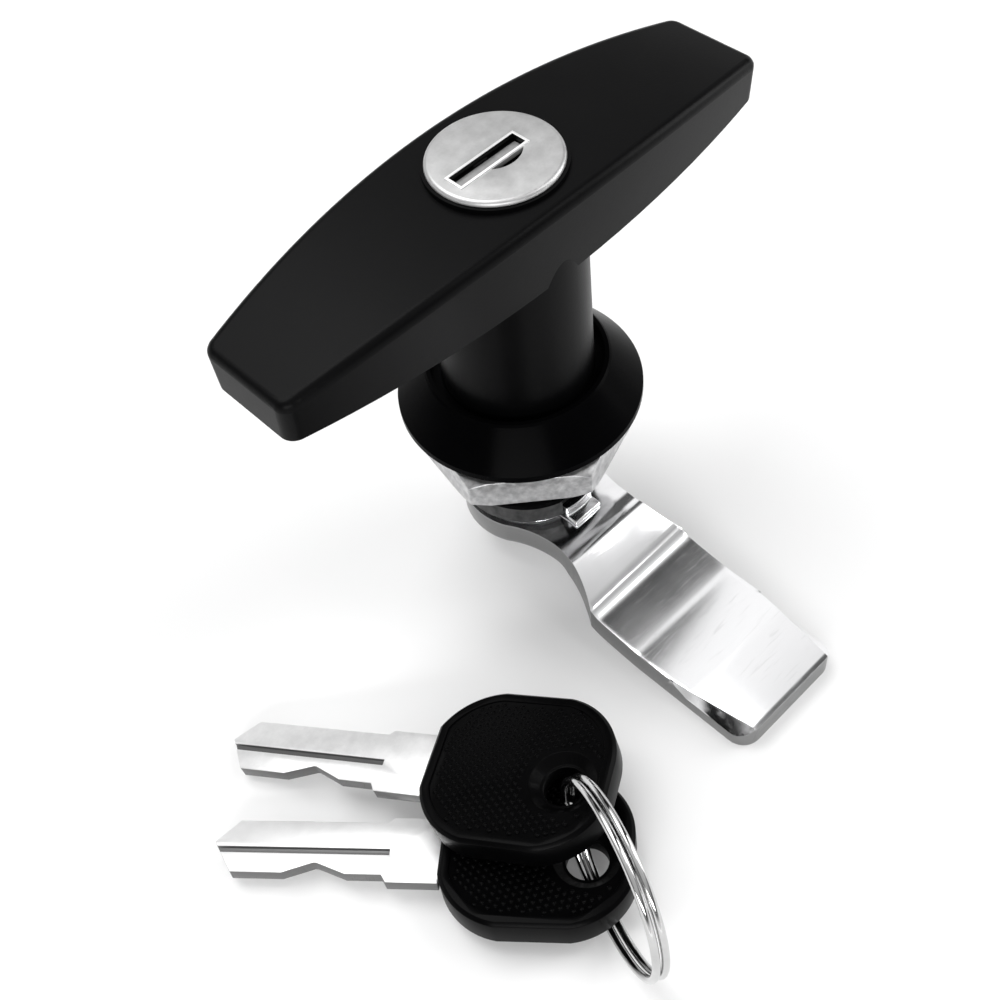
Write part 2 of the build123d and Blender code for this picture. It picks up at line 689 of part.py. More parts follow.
# Cam: a plate cranked down to its working arm, waisted behind its round head
cam_head = barrel_radius - cam_head_margin
cam_half = cam_width / 2
crank_end = cam_crank_start + cam_crank_run
arm_top = cam_top - cam_offset
arm_bottom = cam_bottom - cam_offset
bend_shift = cam_thickness * tan(atan2(cam_offset, cam_crank_run) / 2)
outer_bend = cam_bend_radius + cam_thickness
shoulder_x = cam_head * cos(radians(cam_head_wrap))
shoulder_y = -cam_head * sin(radians(cam_head_wrap))
bevel_growth = cam_bevel_width / (cam_reach - cam_bevel_start)
bevel_sections = (
    (cam_bevel_start, bevel_growth, cam_bevel_first_depth),
    (cam_bevel_full, bevel_growth * (cam_bevel_full - cam_bevel_start), cam_bevel_depth),
    (cam_reach + 1, cam_bevel_width + bevel_growth, cam_bevel_depth),
)
with BuildPart() as cam:
    with BuildSketch(Plane.YZ):
        with BuildLine():
            upper = FilletPolyline(
                (2 * cam_head, cam_top),
                (-cam_crank_start, cam_top),
                (-crank_end, arm_top),
                (-cam_reach - 1, arm_top),
                radius=[outer_bend, cam_bend_radius],
            )
            lower = FilletPolyline(
                (2 * cam_head, cam_bottom),
                (bend_shift - cam_crank_start, cam_bottom),
                (bend_shift - crank_end, arm_bottom),
                (-cam_reach - 1, arm_bottom),
                radius=[cam_bend_radius, outer_bend],
            )
            Line(upper @ 0, lower @ 0)
            Line(upper @ 1, lower @ 1)
        make_face()
    extrude(amount=cam_width, both=True)
    with BuildSketch(Plane.XY.offset(arm_bottom)) as cam_plan:
        with BuildLine():
            ThreePointArc((-shoulder_x, shoulder_y), (0, cam_head), (shoulder_x, shoulder_y))
            for side in (-1, 1):
                ThreePointArc(
                    (side * shoulder_x, shoulder_y),
                    (side * cam_waist_width / 2, -cam_waist_reach),
                    (side * cam_half, -cam_arm_start),
                )
                Line((side * cam_half, -cam_arm_start), (side * cam_half, -cam_reach))
            Line((-cam_half, -cam_reach), (cam_half, -cam_reach))
        make_face()
        fillet(cam_plan.vertices().group_by(Axis.Y)[0], cam_corner_radius)
        fillet(cam_plan.vertices().group_by(Axis.Y)[-1], cam_waist_round)
    extrude(amount=cam_top - arm_bottom, mode=Mode.INTERSECT)
    # Long bevels on the arm's upper edges, which widen towards the tip
    for side in (-1, 1):
        for reach, width, depth in bevel_sections:
            with BuildSketch(Plane.XZ.offset(reach)):
                with BuildLine():
                    Polyline(
                        (side * (cam_half - width), arm_top),
                        (side * (cam_half - width), arm_top + 1),
                        (side * (cam_half + width), arm_top + 1),
                        (side * (cam_half + width), arm_top - 2 * depth),
                        close=True,
                    )
                make_face()
        loft(ruled=True, mode=Mode.SUBTRACT)
    with BuildSketch(Plane.XY.offset(cam_bottom)):
        Rectangle(square_size, square_size)
    extrude(amount=cam_thickness, mode=Mode.SUBTRACT)
cam.part.label = "cam"
export_step(cam.part, "parts/cam.step")


# Washers under the cam
with BuildPart() as cam_washer:
    with BuildSketch(Plane.XY.offset(cam_washer_bottom)):
        Circle(cam_washer_dia / 2)
        Circle(cam_bolt_dia / 2, mode=Mode.SUBTRACT)
    extrude(amount=cam_washer_thickness)
cam_washer.part.label = "cam_washer"
export_step(cam_washer.part, "parts/cam_washer.step")

with BuildPart() as spring_washer:
    with BuildSketch(Plane.XY.offset(bolt_seat)):
        Circle(spring_washer_dia / 2)
        Circle(cam_bolt_dia / 2, mode=Mode.SUBTRACT)
        with Locations((0, spring_washer_dia / 2)):
            Rectangle(spring_washer_split, spring_washer_dia, mode=Mode.SUBTRACT)
    extrude(amount=spring_washer_thickness)
spring_washer.part.label = "spring_washer"
export_step(spring_washer.part, "parts/spring_washer.step")


# Bolt in the shaft's end, whose head ends level with the cam's arm
bolt_blank = hexagon_blank(cam_bolt_flats, bolt_seat - cam_bolt_head, cam_bolt_head, cam_bolt_chamfer)
with BuildPart() as cam_bolt:
    add(bolt_blank)
    with BuildSketch(Plane.XY.offset(bolt_seat)):
        Circle(cam_bolt_dia / 2)
    extrude(amount=cam_bolt_length)
cam_bolt.part.label = "cam_bolt"
export_step(cam_bolt.part, "parts/cam_bolt.step")


def lying_plane(place, plan, pitch, roll):
    """Plane at a place, rolled about its own X, then raised and turned in plan."""
    return Plane(Location(place, (roll, -pitch, plan), Extrinsic.XYZ))


# Keys: X runs from the blade's tip to the head and Y across the blade
key_head_end = key_head_start + key_head_length
key_hole_place = (key_head_end - key_hole_setback, key_hole_shift)
key_edge = key_head_thickness - 2 * key_head_chamfer
key_head_corners = (
    (key_head_start, -key_head_flat / 2),
    (key_head_start, key_head_flat / 2),
    (key_head_start + key_head_slope, key_head_high),
    (key_head_end - key_head_slope, key_head_high),
    (key_head_end, key_end_flat_high),
    (key_head_end, key_end_flat_high - key_end_flat),
    (key_head_end - key_head_slope, -key_head_low),
    (key_head_start + key_head_slope, -key_head_low),
)
tang_end = key_head_start + key_tang_length
tang_outline = (
    (key_head_start, blade_high),
    (tang_end, blade_high),
    (tang_end, -blade_low),
    (key_head_start, -blade_low),
)
blade_outline = (
    (0, 0),
    (blade_tip_run, blade_high),
    (blade_length, blade_high),
    (blade_length + shoulder_rise, blade_high + shoulder_rise),
    (key_head_start, blade_high + shoulder_rise),
    *tang_outline,
    (key_head_start, -blade_low - shoulder_drop),
    (blade_length + shoulder_rise, -blade_low - shoulder_drop),
    (blade_length, -blade_low),
    (blade_cut_end, -blade_low),
    (blade_cut_end - blade_cut_run, blade_cut_depth - blade_low),
    (blade_cut_start + blade_cut_run, blade_cut_depth - blade_low),
    (blade_cut_start, -blade_low),
    (blade_tip_run, -blade_low),
)


def head_outline(plane, inset):
    """Plan of a key's head: four flats joined by four bulging arcs."""
    middle = Vector((key_head_start + key_head_end) / 2, (key_head_high - key_head_low) / 2)
    corners = [Vector(*corner) for corner in key_head_corners]
    with BuildSketch(plane) as outline:
        with BuildLine():
            for index in range(0, len(corners), 2):
                end = corners[index + 1]
                following = corners[(index + 2) % len(corners)]
                bulge = ((end + following) / 2 - middle).normalized() * key_head_bulge
                Line(corners[index], end)
                ThreePointArc(end, middle + bulge, following)
        make_face()
        if inset:
            offset(amount=-inset)
    return outline.sketch


for letter, lay in (("a", key_a_lay), ("b", key_b_lay)):
    flat = lying_plane(*lay)
    with BuildPart() as key_blade:
        with BuildSketch(flat.offset(-blade_thickness / 2)):
            with BuildLine():
                Polyline(*blade_outline, close=True)
            make_face()
        extrude(amount=blade_thickness)
        # A groove along each face, which the keyway's ribs run in
        for side in (-1, 1):
            with BuildSketch(flat.offset(side * blade_thickness / 2)):
                with Locations(((blade_length + shoulder_rise) / 2, blade_groove_shift)):
                    Rectangle(blade_length + shoulder_rise, blade_groove_width)
            extrude(amount=-side * blade_groove_depth, mode=Mode.SUBTRACT)
    key_blade.part.label = f"key_{letter}_blade"
    export_step(key_blade.part, f"parts/key_{letter}_blade.step")

    # Plastic head around the blade's tang, with sunk faces and a dished hole for the ring
    with BuildPart() as key_head:
        extrude(head_outline(flat.offset(-key_edge / 2), 0), amount=key_edge)
        for side in (-1, 1):
            face = flat.offset(side * key_head_thickness / 2)
            low = head_outline(flat.offset(side * key_edge / 2), 0)
            loft(sections=[low, head_outline(face, key_head_chamfer)], ruled=True)
            extrude(head_outline(face, key_rim_width), amount=-side * key_face_sink, mode=Mode.SUBTRACT)
            with BuildSketch(face):
                with Locations(key_hole_place):
                    Circle(key_dish_dia / 2)
            with BuildSketch(flat.offset(side * key_web / 2)):
                with Locations(key_hole_place):
                    Circle(key_hole_dia / 2 + key_dish_step)
            loft(ruled=True, mode=Mode.SUBTRACT)
        with BuildSketch(flat.offset(-key_head_thickness / 2)):
            with Locations(key_hole_place):
                Circle(key_hole_dia / 2)
        extrude(amount=key_head_thickness, mode=Mode.SUBTRACT)
        with BuildSketch(flat.offset(-blade_thickness / 2)):
            with BuildLine():
                Polyline(*tang_outline, close=True)
            make_face()
        extrude(amount=blade_thickness, mode=Mode.SUBTRACT)
    key_head.part.label = f"key_{letter}_head"
    export_step(key_head.part, f"parts/key_{letter}_head.step")


# Split ring of two coils side by side, which stands through both heads
ring_plane = lying_plane(*ring_lay)
with BuildPart() as key_ring:
    with BuildSketch(ring_plane):
        with Locations((-ring_coil_space / 2, ring_radius), (ring_coil_space / 2, ring_radius)):
            RegularPolygon(ring_wire / 2, 8)
    revolve(axis=Axis(ring_plane.origin, ring_plane.x_dir))
key_ring.part.label = "key_ring"
export_step(key_ring.part, "parts/key_ring.step")
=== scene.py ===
import json
from math import cos, pi, radians, sin

import bmesh
import bpy
from mathutils import Matrix, Vector


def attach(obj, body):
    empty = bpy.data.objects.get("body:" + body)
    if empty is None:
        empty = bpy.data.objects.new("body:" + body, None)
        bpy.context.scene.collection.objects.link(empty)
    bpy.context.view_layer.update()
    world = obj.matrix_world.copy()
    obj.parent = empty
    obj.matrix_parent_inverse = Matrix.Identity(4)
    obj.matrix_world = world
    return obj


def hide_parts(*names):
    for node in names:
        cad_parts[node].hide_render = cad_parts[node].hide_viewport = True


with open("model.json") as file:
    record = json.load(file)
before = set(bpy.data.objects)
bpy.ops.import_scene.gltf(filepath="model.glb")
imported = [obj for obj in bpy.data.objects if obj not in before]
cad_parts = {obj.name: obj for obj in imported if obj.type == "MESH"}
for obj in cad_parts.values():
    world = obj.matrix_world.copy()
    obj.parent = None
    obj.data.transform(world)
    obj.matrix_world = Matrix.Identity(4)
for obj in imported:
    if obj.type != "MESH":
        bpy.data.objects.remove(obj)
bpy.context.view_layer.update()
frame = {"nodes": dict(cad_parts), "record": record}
print("frame loaded:", len(frame["nodes"]), "nodes")

# Camera, from a perspective fit of the photograph: metres and radians, the lens in millimetres
photoView = {
    "place": (-0.08624, -0.10190, 0.14927),
    "lens": 49.55,
    "sensor": 36.0,
    "heading": 0.663,
    "dip": 0.918,
    "tilt": -0.143,
    "clip": (0.005, 10),
}


def addCamera(view):
    heading, dip, tilt = view["heading"], view["dip"], view["tilt"]
    forward = Vector((sin(heading) * cos(dip), cos(heading) * cos(dip), -sin(dip)))
    level = Vector((cos(heading), -sin(heading), 0))
    upright = level.cross(forward)
    right = cos(tilt) * level + sin(tilt) * upright
    top = cos(tilt) * upright - sin(tilt) * level
    data = bpy.data.cameras.new("photoCamera")
    data.lens = view["lens"]
    data.sensor_width = view["sensor"]
    data.clip_start, data.clip_end = view["clip"]
    camera = bpy.data.objects.new("photoCamera", data)
    bpy.context.scene.collection.objects.link(camera)
    turn = Matrix((right, top, -forward)).transposed().to_4x4()
    camera.matrix_world = Matrix.Translation(view["place"]) @ turn
    bpy.context.scene.camera = camera


addCamera(photoView)
print("camera placed")


# Nodes: inputs go by name or number, and each takes a plain value or another node's output

def feed(tree, sockets, values):
    for socket, value in values.items():
        if isinstance(value, bpy.types.NodeSocket):
            tree.links.new(value, sockets[socket])
        else:
            sockets[socket].default_value = value


def addNode(tree, kind, inputs, **settings):
    node = tree.nodes.new("ShaderNode" + kind)
    for setting, value in settings.items():
        setattr(node, setting, value)
    feed(tree, node.inputs, inputs)
    return node.outputs


def calculate(tree, operation, *values):
    return addNode(tree, "Math", dict(enumerate(values)), operation=operation)[0]


def combine(tree, operation, first, *others):
    for other in others:
        first = calculate(tree, operation, first, other)
    return first


def ramp(tree, value, start, end, low=0.0, high=1.0, soft=False):
    inputs = {"Value": value, "From Min": start, "From Max": end, "To Min": low, "To Max": high}
    return addNode(tree, "MapRange", inputs, interpolation_type="SMOOTHSTEP" if soft else "LINEAR")["Result"]


def mixTones(tree, share, under, over):
    return addNode(tree, "Mix", {"Factor": share, "A": under, "B": over}, data_type="RGBA")["Result"]


def drawOut(tree, vector, amounts):
    return addNode(tree, "VectorMath", {0: vector, 1: amounts}, operation="MULTIPLY")["Vector"]


def axesOf(tree, vector):
    return addNode(tree, "SeparateXYZ", {"Vector": vector})


def colourOf(tone):
    return (*tone, 1) if isinstance(tone, tuple) else (tone, tone, tone, 1)


# Effects that several finishes share

def startGroup(name, inputs, outputs):
    group = bpy.data.node_groups.new(name, "ShaderNodeTree")
    for socketName, kind, value in inputs:
        socket = group.interface.new_socket(socketName, in_out="INPUT", socket_type="NodeSocket" + kind)
        if value is not None:
            socket.default_value = value
    for socketName, kind in outputs:
        group.interface.new_socket(socketName, in_out="OUTPUT", socket_type="NodeSocket" + kind)
    return group, group.nodes.new("NodeGroupInput").outputs, group.nodes.new("NodeGroupOutput").inputs


def buildGrain():
    # Fine grain and broad patches, mixed to one tone
    group, given, result = startGroup(
        "surfaceGrain",
        (("Vector", "Vector", None), ("Grain", "Float", 1500.0), ("Patches", "Float", 90.0),
         ("Stretch", "Vector", (1.0, 1.0, 1.0))),
        (("Height", "Float"), ("Tone", "Float")),
    )
    patchContrast = (0.32, 0.68)
    fineShare, patchShare = 0.4, 0.6
    stretched = drawOut(group, given["Vector"], given["Stretch"])
    fine = addNode(group, "TexNoise", {"Vector": stretched, "Scale": given["Grain"], "Detail": 3.0})["Fac"]
    broad = addNode(group, "TexNoise", {
        "Vector": given["Vector"], "Scale": given["Patches"], "Detail": 4.0, "Roughness": 0.6})["Fac"]
    patch = calculate(group, "MULTIPLY", ramp(group, broad, *patchContrast), patchShare)
    feed(group, result, {"Height": fine, "Tone": calculate(group, "MULTIPLY_ADD", fine, fineShare, patch)})
    return group


def buildScratches():
    # Long, thin lines: only the peaks of a drawn-out noise
    group, given, result = startGroup(
        "fineScratches",
        (("Vector", "Vector", None), ("Density", "Float", 400.0), ("Length", "Vector", (1.0, 12.0, 1.0))),
        (("Line", "Float"),),
    )
    linePeaks = (0.60, 0.72)
    drawn = drawOut(group, given["Vector"], given["Length"])
    cells = addNode(group, "TexNoise", {
        "Vector": drawn, "Scale": given["Density"], "Detail": 1.0, "Distortion": 0.6})["Fac"]
    feed(group, result, {"Line": ramp(group, cells, *linePeaks, soft=True)})
    return group


def buildZone():
    # Another tone and gloss on part of a surface: none at Start, all at End
    group, given, result = startGroup(
        "surfaceZone",
        (("Value", "Float", 0.0), ("Start", "Float", 0.0), ("End", "Float", 1.0),
         ("Colour", "Color", None), ("Zone Colour", "Color", None),
         ("Roughness", "Float", 0.5), ("Dulling", "Float", 0.0)),
        (("Colour", "Color"), ("Roughness", "Float"), ("Zone", "Float")),
    )
    zone = ramp(group, given["Value"], given["Start"], given["End"])
    feed(group, result, {
        "Colour": mixTones(group, zone, given["Colour"], given["Zone Colour"]),
        "Roughness": calculate(group, "MULTIPLY_ADD", zone, given["Dulling"], given["Roughness"]),
        "Zone": zone,
    })
    return group


grainGroup = buildGrain()
scratchGroup = buildScratches()
zoneGroup = buildZone()

# Finishes, by material slot or by a name of their own: grain and patches per metre, depth in metres
looks = {
    "powder_coat": {
        "name": "satinPowderCoat", "dark": (0.0012, 0.0012, 0.0014), "light": (0.0026, 0.0026, 0.0028),
        "roughness": (0.3, 0.4), "specular": 0.06, "grain": 2600, "patches": 45, "depth": 0.00002,
        "bump": 0.35},
    "housing_coat": {
        "name": "housingCoat", "dark": (0.001, 0.001, 0.0012), "light": (0.0022, 0.0022, 0.0024),
        "roughness": (0.18, 0.27), "specular": 0.012, "grain": 2400, "patches": 60, "depth": 0.000012,
        "bump": 0.25},
    "bright_chrome": {
        "name": "brightChrome", "dark": (0.88, 0.88, 0.89), "light": (0.95, 0.95, 0.96),
        "roughness": (0.12, 0.18), "metallic": 1.0, "grain": 500, "patches": 110, "depth": 0.000012,
        "bump": 0.12, "scratches": {"density": 260, "length": (1, 9, 1), "dull": 0.05}},
    "ring_wire": {
        "name": "platedRingWire", "dark": 0.5, "light": 0.64, "roughness": (0.08, 0.14), "metallic": 1.0,
        "grain": 900, "patches": 260, "depth": 0.000006, "bump": 0.12},
    "steel": {
        "name": "zincPlatedSteel", "dark": (0.42, 0.42, 0.43), "light": 0.66, "roughness": (0.28, 0.42),
        "metallic": 0.9, "grain": 1800, "patches": 400},
    "dark_steel": {
        "name": "phosphatedSteel", "dark": 0.006, "light": 0.014, "roughness": (0.5, 0.62), "metallic": 0.2,
        "specular": 0.1, "grain": 2400, "patches": 400},
    "nut_zinc": {
        "name": "mottledZinc", "dark": (0.3, 0.3, 0.31), "light": 0.78, "roughness": (0.24, 0.5),
        "metallic": 0.85, "grain": 1100, "patches": 760, "depth": 0.00003, "bump": 0.4},
    "brass": {
        "name": "machinedBrass", "dark": (0.5, 0.36, 0.14), "light": (0.66, 0.5, 0.24),
        "roughness": (0.24, 0.36), "metallic": 1.0, "grain": 1800, "patches": 300, "stretch": (1, 1, 6),
        "bump": 0.25},
    # The plug is brass; its head gets painted shade in paintPlugShade
    "plug": {
        "name": "brassPlugShadedHead", "dark": (0.5, 0.36, 0.14), "light": (0.66, 0.5, 0.24),
        "roughness": (0.3, 0.42), "metallic": 1.0, "grain": 1800, "patches": 300, "bump": 0.25},
    "flap": {
        "name": "brushedFlap", "dark": 0.3, "light": 0.46, "roughness": (0.36, 0.5), "metallic": 0.75,
        "grain": 2600, "patches": 900, "stretch": (0.3, 1, 1), "bump": 0.5},
    "cap": {
        "name": "lockCapStainless", "dark": 0.44, "light": 0.6, "roughness": (0.34, 0.44), "metallic": 0.75,
        "grain": 3000, "patches": 420, "bump": 0.5},
    "rubber": {
        "name": "gasketRubber", "dark": 0.004, "light": 0.008, "roughness": (0.6, 0.75), "specular": 0.15,
        "grain": 2400, "patches": 200, "depth": 0.00003, "bump": 0.4},
    "key_plastic": {
        "name": "mouldedPlastic", "dark": (0.0008, 0.0008, 0.0009), "light": (0.0018, 0.0018, 0.002),
        "roughness": (0.26, 0.36), "specular": 0.04, "grain": 3200, "patches": 140, "bump": 0.25},
    # Key A's blade: the darker, shaded copy of one blade finish (painted shade)
    "bladeA": {
        "name": "groundBladeShadedA", "dark": 0.8, "light": 0.92, "roughness": (0.3, 0.38), "metallic": 0.6,
        "grain": 2200, "patches": 700, "bump": 0.35,
        "scratches": {"density": 420, "length": (6, 6, 1), "dull": 0.12}},
}
looks["cam"] = {**looks["bright_chrome"], "name": "platedCam"}
# Key B's blade: the lighter, lit copy of the same finish (painted light)
looks["bladeB"] = {**looks["bladeA"], "name": "groundBladeLitB", "dark": 0.92, "light": 0.98}


def finish(name, dark, light, roughness, metallic=0.0, specular=0.5, grain=1500.0, patches=90.0,
           stretch=(1, 1, 1), depth=0.00001, bump=0.3, scratches=None):
    material = bpy.data.materials.new(name)
    material.use_nodes = True
    tree = material.node_tree
    place = addNode(tree, "TexCoord", {})["Object"]
    surface = addNode(tree, "Group", {
        "Vector": place, "Grain": grain, "Patches": patches, "Stretch": stretch}, node_tree=grainGroup)
    rough = ramp(tree, surface["Tone"], 0.0, 1.0, *roughness)
    if scratches:
        line = addNode(tree, "Group", {
            "Vector": place, "Density": scratches["density"], "Length": scratches["length"],
        }, node_tree=scratchGroup)["Line"]
        rough = calculate(tree, "MULTIPLY_ADD", line, scratches["dull"], rough)
    relief = addNode(tree, "Bump", {"Height": surface["Height"], "Strength": bump, "Distance": depth})
    feed(tree, tree.nodes["Principled BSDF"].inputs, {
        "Base Color": mixTones(tree, surface["Tone"], colourOf(dark), colourOf(light)),
        "Roughness": rough,
        "Metallic": metallic,
        "Specular IOR Level": specular,
        "Normal": relief["Normal"],
    })
    return material


finishes = {finishName: finish(**look) for finishName, look in looks.items()}

# How the keys and their ring lie: place in metres, then roll, dip and turn in plan, in degrees
keyLay = {
    "A": {"place": (-0.05951, 0.00251, -0.02874), "turn": (-3.95, -12.0, -59.26)},
    "B": {"place": (-0.0713, -0.0086, -0.02765), "turn": (-7.51, -2.4, -48.74)},
}
ringLay = {"place": (-0.0404, -0.0548, -0.0156), "turn": (-23, 3.5, -20.9)}

# Zones that differ from the rest of their finish, each running from its first limit to its second: the bare
# casting, a painted highlight on the cap's lip, and painted shade on the plug, flap, cam sides, slot walls
# and blades
zones = {
    "bareCasting": {"height": (-0.01425, -0.01435), "dark": (0.01, 0.01, 0.011), "light": 0.14,
                    "grain": 700, "metallic": 0.75, "dulling": 0.2},
    "plugHeadShade": {"height": (0.0350, 0.0374), "tone": 0.004},
    "hingeShade": {"across": (0.00072, 0.00082), "tone": 0.002},
    "camSideShade": {"upright": (0.4, 0.1), "tone": 0.24, "dulling": 0.15},
    "lipHighlight": {"height": (0.04273, 0.04276), "tone": 0.95},
    "slotWallShade": {"half": (0.00122, 0.00119), "top": (0.04276, 0.04270), "start": (-0.00668, -0.00665),
                 "end": (0.00428, 0.00425), "tone": 0.006},
    "bladeSideShade": {"height": (0.00093, 0.00086), "tone": 0.16},
}


def turned(lay):
    return tuple(radians(angle) for angle in lay["turn"])


def openFinish(finishName, coordinate="Object"):
    tree = finishes[finishName].node_tree
    return tree, addNode(tree, "TexCoord", {})[coordinate]


def addZone(tree, value, limits, colour, dulling=0.0):
    shader = tree.nodes["Principled BSDF"].inputs
    zone = addNode(tree, "Group", {
        "Value": value, "Start": limits[0], "End": limits[1],
        "Colour": shader["Base Color"].links[0].from_socket, "Zone Colour": colour,
        "Roughness": shader["Roughness"].links[0].from_socket, "Dulling": dulling,
    }, node_tree=zoneGroup)
    feed(tree, shader, {"Base Color": zone["Colour"], "Roughness": zone["Roughness"]})
    return zone["Zone"]


def bareBarrel(zone):
    # The casting is bare below the coat's lower edge
    tree, place = openFinish("housing_coat")
    cast = addNode(tree, "TexNoise", {"Vector": place, "Scale": zone["grain"], "Detail": 4.0})["Fac"]
    colour = mixTones(tree, cast, colourOf(zone["dark"]), colourOf(zone["light"]))
    bare = addZone(tree, axesOf(tree, place)["Z"], zone["height"], colour, zone["dulling"])
    metal = calculate(tree, "MULTIPLY", bare, zone["metallic"])
    feed(tree, tree.nodes["Principled BSDF"].inputs, {"Metallic": metal})


def paintPlugShade(zone):
    # Painted shade: the plug's head, seen through the keyway opening, is darkened nearly black
    tree, place = openFinish("plug")
    addZone(tree, axesOf(tree, place)["Z"], zone["height"], colourOf(zone["tone"]))


def paintHingeShade(zone):
    # Painted shade: the flap is darkened along its hinge edge, where the cap's far wall shades it
    tree, place = openFinish("flap")
    addZone(tree, axesOf(tree, place)["Y"], zone["across"], colourOf(zone["tone"]))


def paintCamSideShade(zone):
    # Painted shade and a duller gloss on the plate's sheared edges, which are those whose normal lies flat
    tree, normal = openFinish("cam", "Normal")
    upright = calculate(tree, "ABSOLUTE", axesOf(tree, normal)["Z"])
    addZone(tree, upright, zone["upright"], colourOf(zone["tone"]), zone["dulling"])


def paintCapSlotLightAndShade(lip, wall):
    # A painted highlight on the top of the lip, and painted shade on the slot's walls below it
    tree, place = openFinish("cap")
    axes = axesOf(tree, place)
    addZone(tree, axes["Z"], lip["height"], colourOf(lip["tone"]))
    # Painted shade: the slot's walls inside the cap are darkened nearly black
    inSlot = combine(
        tree, "MULTIPLY",
        ramp(tree, calculate(tree, "ABSOLUTE", axes["Y"]), *wall["half"]),
        ramp(tree, axes["Z"], *wall["top"]),
        ramp(tree, axes["X"], *wall["start"]),
        ramp(tree, axes["X"], *wall["end"]),
    )
    addZone(tree, inSlot, (0.0, 1.0), colourOf(wall["tone"]))


def paintBladeSideShade(finishName, lay, zone):
    # Painted shade on the cut sides and the groove, between the blade's two bright faces
    tree, place = openFinish(finishName)
    own = addNode(tree, "Mapping", {  # from the shared frame into the key's own
        "Vector": place, "Location": lay["place"], "Rotation": turned(lay)}, vector_type="TEXTURE")["Vector"]
    height = calculate(tree, "ABSOLUTE", axesOf(tree, own)["Z"])
    addZone(tree, height, zone["height"], colourOf(zone["tone"]))


bareBarrel(zones["bareCasting"])
paintPlugShade(zones["plugHeadShade"])
paintHingeShade(zones["hingeShade"])
paintCamSideShade(zones["camSideShade"])
paintCapSlotLightAndShade(zones["lipHighlight"], zones["slotWallShade"])
for letter, lay in keyLay.items():
    paintBladeSideShade("blade" + letter, lay, zones["bladeSideShade"])
print("finishes built:", len(finishes))

slotOf = {entry["node"]: entry["material_slot"] for entry in frame["record"]["subparts"]}
bodyOf = {node: body for body, members in frame["record"]["behaviour"]["bodies"].items() for node in members}
ownFinish = {
    "plug": "plug",
    "dust_shutter": "flap",
    "face_cap": "cap",
    "shutter_spring": "dark_steel",
    "shutter_pin": "dark_steel",
    "cam": "cam",
    "key_a_blade": "bladeA",
    "key_b_blade": "bladeB",
    "key_ring": "ring_wire",
}


def finishOf(nodeName):
    return ownFinish.get(nodeName, slotOf[nodeName])


def dress(piece, finishName):
    piece.data.materials.clear()
    piece.data.materials.append(finishes[finishName])


for nodeName, piece in frame["nodes"].items():
    dress(piece, finishOf(nodeName))
print("CAD nodes dressed")


# Steps that several pieces share

def clearSelection():
    if bpy.context.object and bpy.context.object.mode != "OBJECT":
        bpy.ops.object.mode_set(mode="OBJECT")
    bpy.ops.object.select_all(action="DESELECT")


def pick(piece):
    clearSelection()
    piece.select_set(True)
    bpy.context.view_layer.objects.active = piece


def editAll(active=True):
    # Into edit mode with everything selected, or back out
    bpy.ops.object.mode_set(mode="EDIT" if active else "OBJECT")
    if active:
        bpy.ops.mesh.select_all(action="SELECT")


def bisectAll(place, normal, **options):
    bpy.ops.mesh.select_all(action="SELECT")
    bpy.ops.mesh.bisect(plane_co=place, plane_no=normal, **options)


def closeEnds():
    editAll()
    bpy.ops.mesh.fill_holes(sides=0)
    bpy.ops.mesh.normals_make_consistent(inside=False)
    editAll(False)


def applyModifier(piece, kind, **settings):
    modifier = piece.modifiers.new(kind.lower(), kind)
    for setting, value in settings.items():
        setattr(modifier, setting, value)
    bpy.context.view_layer.objects.active = piece
    bpy.ops.object.modifier_apply(modifier=modifier.name)


def layDown(piece, lay):
    piece.location = lay["place"]
    piece.rotation_euler = turned(lay)


def placePiece(piece, name, body, finishName, smooth=30):
    piece.name = name
    pick(piece)
    bpy.ops.object.transform_apply(location=True, rotation=True, scale=True)
    bpy.ops.object.shade_smooth_by_angle(angle=radians(smooth))
    dress(piece, finishName)
    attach(piece, body)


def replaceNode(piece, name, nodeName, smooth=30):
    placePiece(piece, name, bodyOf[nodeName], finishOf(nodeName), smooth)
    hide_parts(nodeName)


# Nodes whose edges get the small rounding of the real pieces
roundedEdges = {
    "cam": {"name": "camPlate", "width": 0.00035, "segments": 3},
    "stop_washer": {"name": "stopPlate", "width": 0.00022, "segments": 2},
    "panel_nut": {"name": "nutBody", "width": 0.00022, "segments": 2},
    "cam_washer": {"name": "flatWasher", "width": 0.00012, "segments": 2},
    "cam_bolt": {"name": "boltHead", "width": 0.00015, "segments": 2},
    "key_a_blade": {"name": "bladeA", "width": 0.00013, "segments": 2},
    "key_b_blade": {"name": "bladeB", "width": 0.00013, "segments": 2},
    "key_a_head": {"name": "headA", "width": 0.00016, "segments": 2},
    "key_b_head": {"name": "headB", "width": 0.00016, "segments": 2},
}
meshCleaning = {"merge": 0.000002, "flat": 0.8, "corner": 28}  # metres, then degrees

# The cam's arm leaves its lower bend, at "from", in a long, slight curve
armSweep = {
    "from": -0.0225,
    "run": 0.0093,
    "rise": 0.00115,
    "power": 1.25,
    "curl": 0.0025,
    "curlRise": 0.0003,
    "back": 0.0073,
    "backPower": 2.5,
    "reach": -0.0512,
    "step": 0.0007,
    "flatStep": 0.0021,
    "flatEnd": 0.003,
    "sides": (-0.0094, 0.0094),
}


